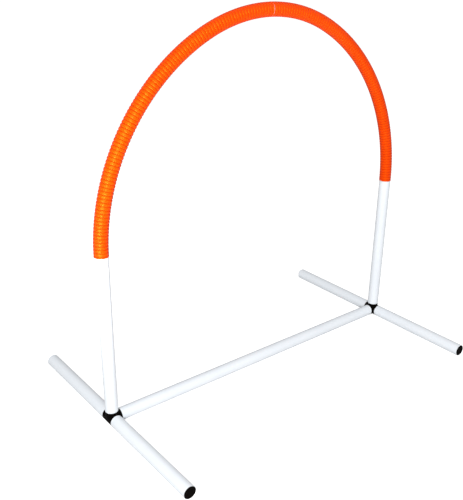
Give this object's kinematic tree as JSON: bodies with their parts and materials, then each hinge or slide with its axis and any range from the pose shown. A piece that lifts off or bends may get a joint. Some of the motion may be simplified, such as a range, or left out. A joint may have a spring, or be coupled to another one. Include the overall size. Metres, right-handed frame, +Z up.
{
  "type": "agility hoop gate",
  "caption": "Free-standing dog agility hoop: a white tube base with cross feet and uprights, black plug-in corner connectors and a tall arch in orange ribbed sleeving.",
  "frame": {"origin": "on the floor, midway between the two uprights and under the middle of the crossbar", "axes": "+X along the crossbar towards the right upright, +Y along the feet towards the rear, +Z up"},
  "size_m": [0.976, 0.656, 0.956],
  "materials": {
    "white_tube": "smooth extruded rigid tube, semi-gloss white",
    "orange_sleeve": "ribbed flexible conduit, semi-gloss orange",
    "black_moulding": "moulded black plastic with a fine satin texture",
    "arch_pipe_white": "flexible extruded pipe, white",
    "coupler_white": "moulded white plastic"
  },
  "bodies": {
    "base": {"crossbar_tube": "white_tube", "left_connector": "black_moulding", "right_connector": "black_moulding"},
    "left_upright": {"left_upright_tube": "white_tube", "left_reducer_bush": "coupler_white"},
    "right_upright": {"right_upright_tube": "white_tube", "right_reducer_bush": "coupler_white"},
    "arch": {"left_arch_pipe": "arch_pipe_white", "right_arch_pipe": "arch_pipe_white", "crest_coupler": "coupler_white", "left_ribbed_sleeve": "orange_sleeve", "right_ribbed_sleeve": "orange_sleeve"},
    "left_front_foot": {"left_front_foot_tube": "white_tube", "left_front_end_cap": "black_moulding"},
    "left_rear_foot": {"left_rear_foot_tube": "white_tube", "left_rear_end_cap": "black_moulding"},
    "right_front_foot": {"right_front_foot_tube": "white_tube", "right_front_end_cap": "black_moulding"},
    "right_rear_foot": {"right_rear_foot_tube": "white_tube", "right_rear_end_cap": "black_moulding"}
  },
  "joints": [
    {"name": "left_upright_lift", "type": "slide", "parent": "base", "child": "left_upright", "axis": [0, 0, 1], "range_m": [0, 0.036]},
    {"name": "right_upright_lift", "type": "slide", "parent": "base", "child": "right_upright", "axis": [0, 0, 1], "range_m": [0, 0.036]},
    {"name": "arch_lift", "type": "slide", "parent": "left_upright", "child": "arch", "axis": [0, 0, 1], "range_m": [0, 0.056]},
    {"name": "left_front_foot_pull", "type": "slide", "parent": "base", "child": "left_front_foot", "axis": [0, -1, 0], "range_m": [0, 0.036]},
    {"name": "left_rear_foot_pull", "type": "slide", "parent": "base", "child": "left_rear_foot", "axis": [0, 1, 0], "range_m": [0, 0.036]},
    {"name": "right_front_foot_pull", "type": "slide", "parent": "base", "child": "right_front_foot", "axis": [0, -1, 0], "range_m": [0, 0.036]},
    {"name": "right_rear_foot_pull", "type": "slide", "parent": "base", "child": "right_rear_foot", "axis": [0, 1, 0], "range_m": [0, 0.036]}
  ],
  "couplings": [
    {"joint": "right_upright_lift", "follows": "left_upright_lift", "ratio": 1}
  ]
}
